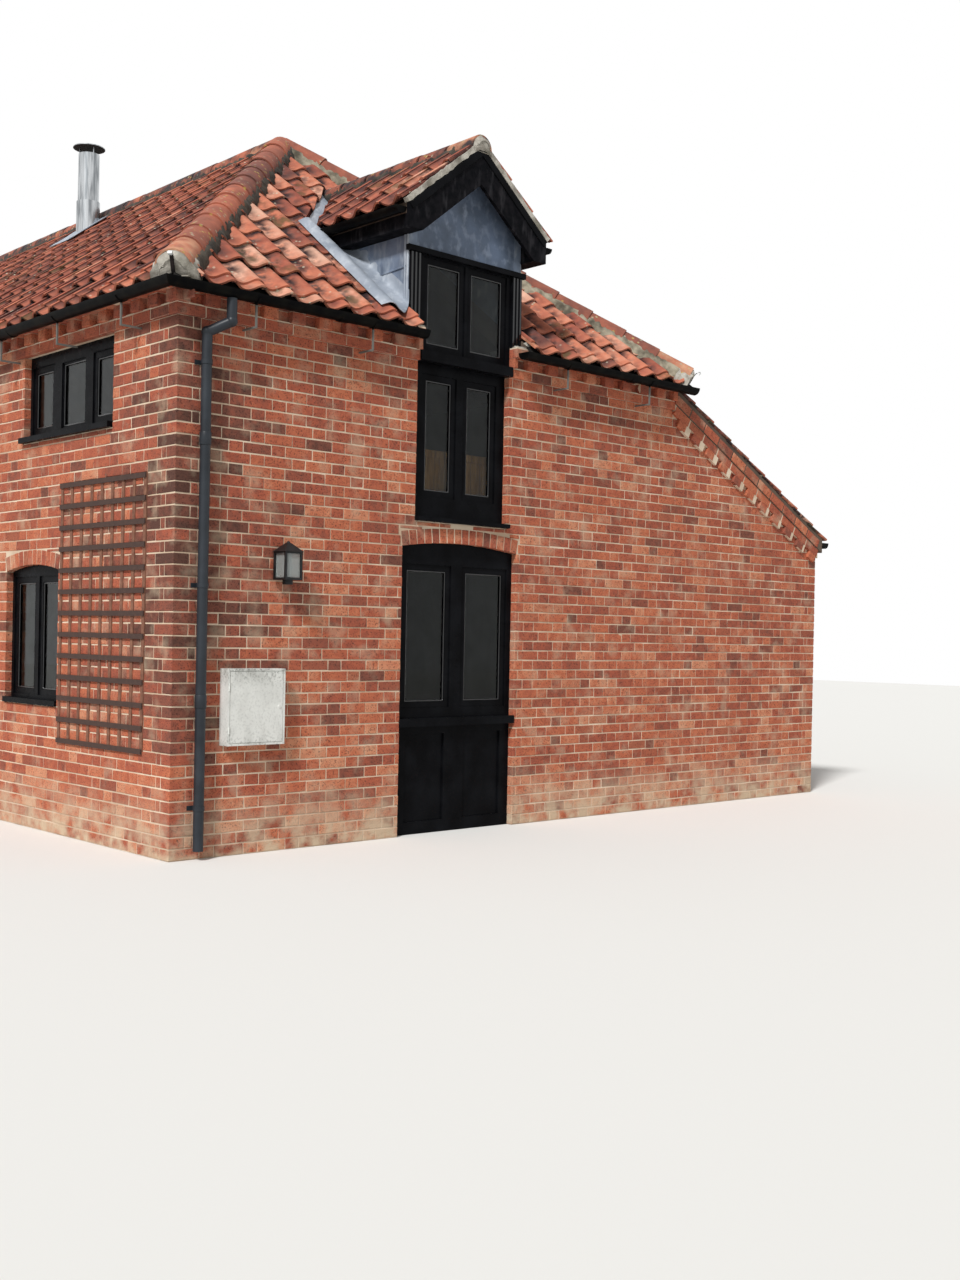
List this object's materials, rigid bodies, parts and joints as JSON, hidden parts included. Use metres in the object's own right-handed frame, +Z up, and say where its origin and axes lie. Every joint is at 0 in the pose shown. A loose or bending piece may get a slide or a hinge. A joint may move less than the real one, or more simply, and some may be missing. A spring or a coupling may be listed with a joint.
{
  "type": "converted hayloft barn",
  "caption": "Brick barn converted to a dwelling: hipped pantile roof, lead-cheeked loft dormer over stacked openings, dentil eaves and a lean-to at its side.",
  "frame": {"origin": "middle of the main range's footprint, at ground level, on the underside of the ground slab", "axes": "+Z up, the hipped front with the dormer faces -Y, the lean-to stands on the +X side"},
  "size_m": [7.584, 11.224, 6.4484],
  "materials": {
    "brick": "matt",
    "roof_tile": "matt",
    "ridge_tile": "matt",
    "black_timber": "satin paint",
    "lead": "dull",
    "glass": "clear",
    "floor_boards": "oiled",
    "concrete": "matt",
    "pine": "varnished",
    "gutter_black": "satin",
    "pipe_grey": "satin",
    "stainless": "brushed",
    "meter_white": "weathered",
    "lantern_black": "satin",
    "trellis_wood": "weathered"
  },
  "bodies": {
    "root": {"ground_slab": "concrete", "first_floor": "floor_boards", "front_wall_left": "brick", "front_wall_right": "brick", "front_arch": "brick", "left_wall": "brick", "right_wall": "brick", "rear_wall": "brick", "window_arches": "brick", "front_eaves": "brick", "left_eaves": "brick", "right_eaves": "brick", "rear_eaves": "brick", "roof_front": "roof_tile", "roof_left": "roof_tile", "roof_right": "roof_tile", "roof_rear": "roof_tile", "ridge_tiles": "ridge_tile", "front_hip_tiles": "ridge_tile", "rear_hip_tiles": "ridge_tile", "dormer_cheeks": "lead", "dormer_gable": "lead", "dormer_roof": "roof_tile", "dormer_ridge": "ridge_tile", "barge_boards": "black_timber", "dormer_soffits": "black_timber", "dormer_window": "black_timber", "loft_window": "black_timber", "ground_window": "black_timber", "casements": "black_timber", "arched_windows": "black_timber", "ground_glass": "glass", "upper_glass": "glass", "guard_panel": "pine", "lead_flashings": "lead", "lean_front_wall": "brick", "lean_side_wall": "brick", "lean_rear_wall": "brick", "lean_roof": "roof_tile", "gutters": "gutter_black", "downpipe": "pipe_grey", "flue": "stainless", "meter_box": "meter_white", "lantern": "lantern_black", "trellis": "trellis_wood"}
  },
  "joints": []
}
